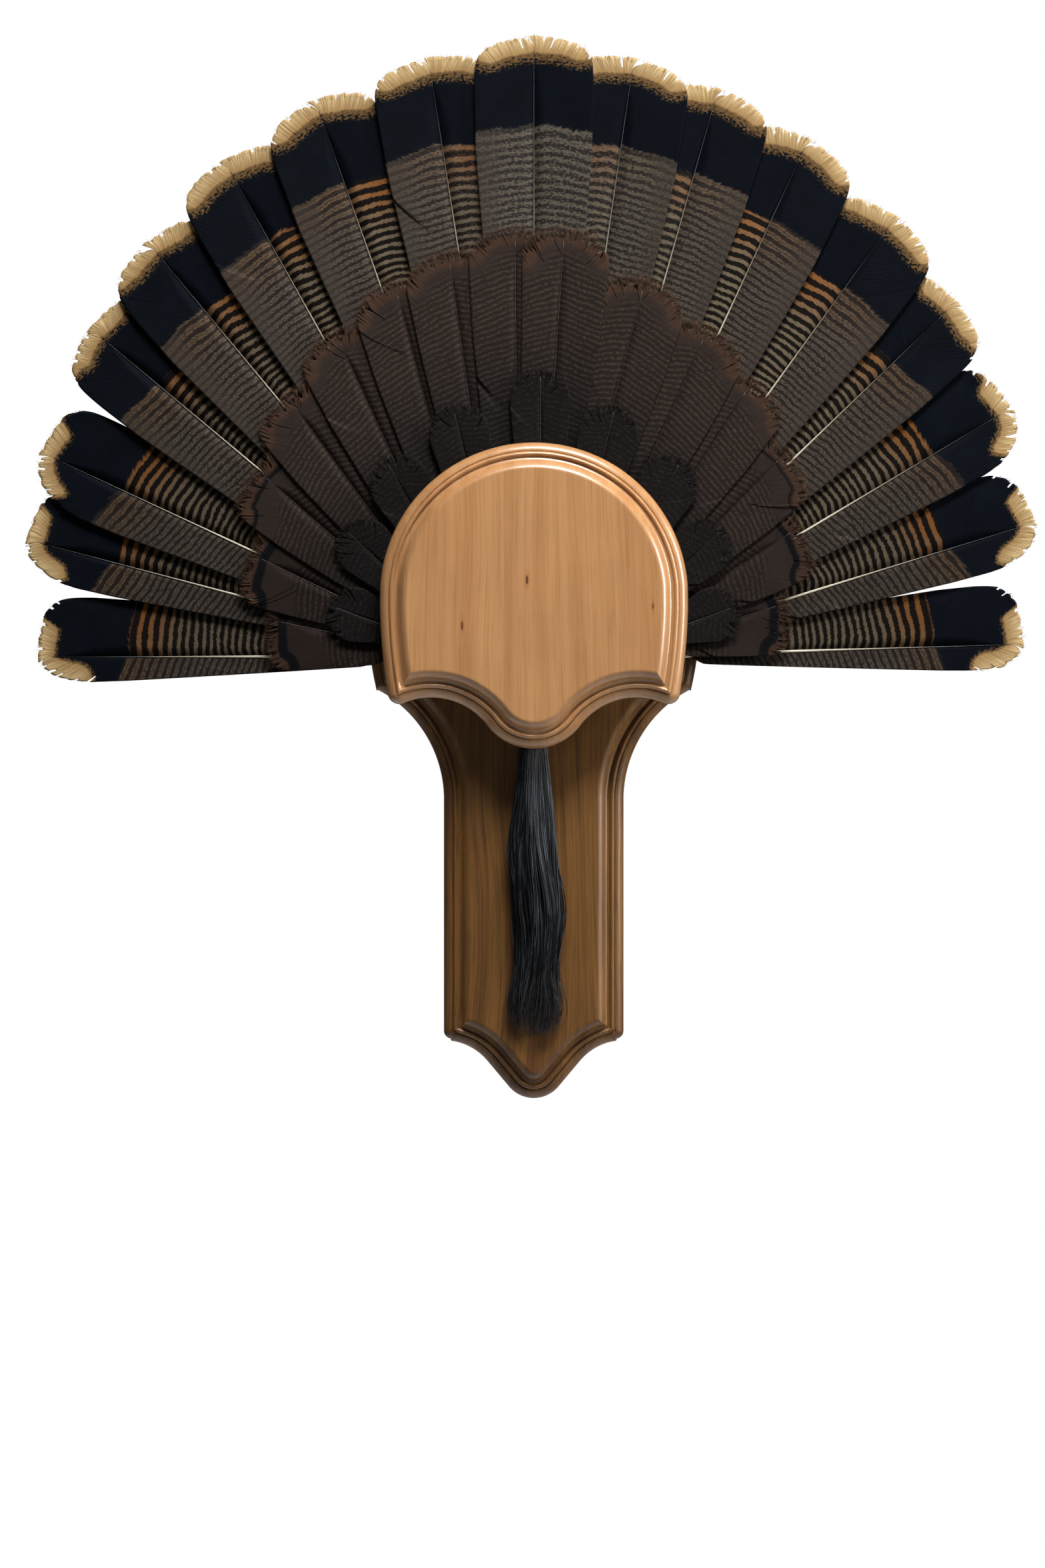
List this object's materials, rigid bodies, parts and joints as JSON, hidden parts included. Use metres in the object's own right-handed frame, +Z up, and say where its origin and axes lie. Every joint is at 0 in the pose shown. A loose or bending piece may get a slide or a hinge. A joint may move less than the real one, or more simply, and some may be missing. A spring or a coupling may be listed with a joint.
{
  "type": "turkey fan and beard wall mount",
  "caption": "Wall display of a spread turkey tail: feathers clamped between a routed cover plate and a paddle-shaped back panel, with a beard hanging below and a ring hanger behind.",
  "frame": {"origin": "on the back panel's back face, behind the centre of the cover plate's round", "axes": "+Z up the wall, +Y into the wall, so the front faces -Y; +X to the right as seen from the front"},
  "size_m": [0.6164, 0.054, 0.6585],
  "materials": {
    "walnut_board": "walnut stain under satin lacquer, routed edge",
    "cherry_board": "honey cherry under gloss lacquer, routed edge",
    "spacer_wood": "plain turned hardwood",
    "plated_screw": "yellow zinc plate",
    "steel_screw": "zinc plate",
    "hardened_filler": "dried skin set in hard filler",
    "brass_hanger": "brass plate",
    "brass_screw": "brass plate",
    "beard_bristle": "coarse black bristles with a dull sheen",
    "dried_skin": "dried skin",
    "tail_vane": "barred brown vane, black band and buff tip",
    "covert_vane": "dark chocolate vane with fine bars and rusty fringe",
    "inner_covert_vane": "near-black vane with a faint bronze edge"
  },
  "bodies": {
    "mount": {"back_panel": "walnut_board", "cover_plate": "cherry_board", "left_spacer": "spacer_wood", "right_spacer": "spacer_wood", "cover_screws": "plated_screw", "tail_butt": "hardened_filler", "butt_screws": "steel_screw", "hanger_strap": "brass_hanger", "hanger_screws": "brass_screw", "beard_screw": "steel_screw", "beard_washers": "steel_screw", "tail_feather_l1": "tail_vane", "tail_feather_l2": "tail_vane", "tail_feather_l3": "tail_vane", "tail_feather_l4": "tail_vane", "tail_feather_l5": "tail_vane", "tail_feather_l6": "tail_vane", "tail_feather_l7": "tail_vane", "tail_feather_l8": "tail_vane", "tail_feather_centre": "tail_vane", "tail_feather_r8": "tail_vane", "tail_feather_r7": "tail_vane", "tail_feather_r6": "tail_vane", "tail_feather_r5": "tail_vane", "tail_feather_r4": "tail_vane", "tail_feather_r3": "tail_vane", "tail_feather_r2": "tail_vane", "tail_feather_r1": "tail_vane", "tail_feather_under": "tail_vane", "covert_l1": "covert_vane", "covert_l2": "covert_vane", "covert_l3": "covert_vane", "covert_l4": "covert_vane", "covert_l5": "covert_vane", "covert_l6": "covert_vane", "covert_l7": "covert_vane", "covert_l8": "covert_vane", "covert_centre": "covert_vane", "covert_r6": "covert_vane", "covert_r5": "covert_vane", "covert_r4": "covert_vane", "covert_r3": "covert_vane", "covert_r2": "covert_vane", "covert_r1": "covert_vane", "inner_covert_1": "inner_covert_vane", "inner_covert_2": "inner_covert_vane", "inner_covert_3": "inner_covert_vane", "inner_covert_4": "inner_covert_vane", "inner_covert_5": "inner_covert_vane", "inner_covert_6": "inner_covert_vane", "inner_covert_7": "inner_covert_vane", "inner_covert_8": "inner_covert_vane", "inner_covert_9": "inner_covert_vane"},
    "ring_body": {"hanger_ring": "brass_hanger"},
    "beard_body": {"beard": "beard_bristle", "beard_butt": "dried_skin"}
  },
  "joints": [
    {"name": "ring_swing", "type": "hinge", "parent": "mount", "child": "ring_body", "pos_m": [0, -0.0054, 0.052], "axis": [-1, 0, 0], "range_deg": [0, 150]},
    {"name": "beard_swing", "type": "hinge", "parent": "mount", "child": "beard_body", "pos_m": [0.001, -0.0244, -0.07], "axis": [0, 1, 0], "range_deg": [-8, 8]}
  ]
}
